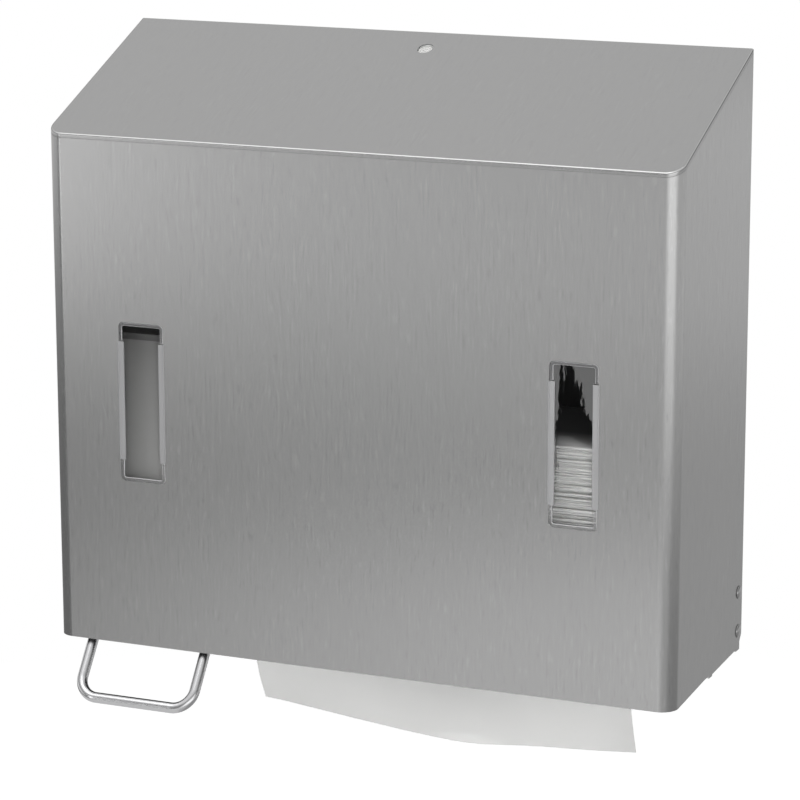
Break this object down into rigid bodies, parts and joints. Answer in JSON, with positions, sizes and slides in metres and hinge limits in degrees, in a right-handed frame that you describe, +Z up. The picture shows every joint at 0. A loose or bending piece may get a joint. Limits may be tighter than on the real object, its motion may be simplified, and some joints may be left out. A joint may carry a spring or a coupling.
{
  "type": "towel and soap dispenser",
  "caption": "Wall-mounted steel hood with sloping top over a paper towel tray and a soap tank with rod lever pump; clear level windows and a hidden key latch.",
  "frame": {"origin": "middle of the four wall holes, on the wall face of the back plate", "axes": "+Y into the wall, -Y out into the room, +X to the right seen from the room, +Z up"},
  "size_m": [0.4196, 0.1518, 0.4288],
  "materials": {
    "hood_steel": "vertical brushing, satin",
    "inner_steel": "mill finish, slightly dull",
    "rivet_metal": "satin",
    "pin_steel": "bright turned",
    "bow_steel": "polished rod",
    "spring_steel": "bright wire",
    "window_plastic": "clear, moulded",
    "tank_plastic": "milky, satin",
    "pump_plastic": "white, satin",
    "rocker_plastic": "dark grey, fine grain",
    "lock_plastic": "light grey, satin",
    "latch_plastic": "white, satin",
    "seal_rubber": "matt black",
    "towel_paper": "soft, matt white"
  },
  "bodies": {
    "frame": {"back_plate": "inner_steel", "latch_keeper": "inner_steel", "keeper_rivets": "rivet_metal", "hinge_pins": "pin_steel", "hinge_bushes": "rocker_plastic", "partition_wall": "inner_steel", "towel_tray": "inner_steel", "towel_side_guide": "inner_steel", "pump_shelf": "inner_steel", "frame_rivets": "rivet_metal", "pump_body": "pump_plastic", "pump_ring_nut": "pump_plastic", "pump_cap": "pump_plastic", "inlet_valve": "seal_rubber", "pump_spring": "spring_steel", "towel_stack": "towel_paper", "hanging_towel": "towel_paper"},
    "hood": {"hood_shell": "hood_steel", "hood_top": "hood_steel", "soap_window": "window_plastic", "towel_window": "window_plastic", "hinge_bracket_left": "inner_steel", "hinge_bracket_right": "inner_steel", "hinge_rivets": "rivet_metal", "lever_bracket": "inner_steel", "bracket_nuts": "pin_steel", "lever_axle": "pin_steel", "axle_clips": "pin_steel", "lock_housing": "lock_plastic", "lock_nuts": "pin_steel", "latch_pin": "pin_steel", "latch_spring": "spring_steel"},
    "latch": {"latch_hook": "latch_plastic"},
    "lever": {"lever_rocker": "rocker_plastic", "lever_bow": "bow_steel", "bow_set_screws": "pin_steel"},
    "piston": {"pump_piston": "pump_plastic", "piston_seal": "seal_rubber", "nozzle_tip": "seal_rubber"},
    "tank": {"soap_tank": "tank_plastic", "tank_outlet_seal": "seal_rubber", "lid_hinge_pin": "pin_steel"},
    "lid": {"tank_lid": "tank_plastic"}
  },
  "joints": [
    {"name": "hood_tilt", "type": "hinge", "parent": "frame", "child": "hood", "pos_m": [0, -0.008, -0.181], "axis": [1, 0, 0], "range_deg": [0, 65]},
    {"name": "latch_swing", "type": "hinge", "parent": "hood", "child": "latch", "pos_m": [0, -0.02758, 0.16714], "axis": [-1, 0, 0], "range_deg": [0, 16], "stiffness_Nm_per_rad": 0.12, "springref_deg": -22.92, "deforming": ["latch_spring"]},
    {"name": "lever_swing", "type": "hinge", "parent": "hood", "child": "lever", "pos_m": [-0.147, -0.1075, -0.168], "axis": [1, 0, 0], "range_deg": [0, 18], "stiffness_Nm_per_rad": 0.4, "springref_deg": -28.65},
    {"name": "pump_stroke", "type": "slide", "parent": "frame", "child": "piston", "axis": [0, 0, 1], "range_m": [0, 0.0065], "deforming": ["pump_spring"]},
    {"name": "tank_lift", "type": "slide", "parent": "frame", "child": "tank", "axis": [0, 0, 1], "range_m": [0, 0.02]},
    {"name": "lid_swing", "type": "hinge", "parent": "tank", "child": "lid", "pos_m": [-0.1485, -0.02, 0.0122], "axis": [-1, 0, 0], "range_deg": [0, 90]}
  ],
  "couplings": [
    {"joint": "pump_stroke", "follows": "lever_swing", "m_per_rad": 0.0206}
  ]
}
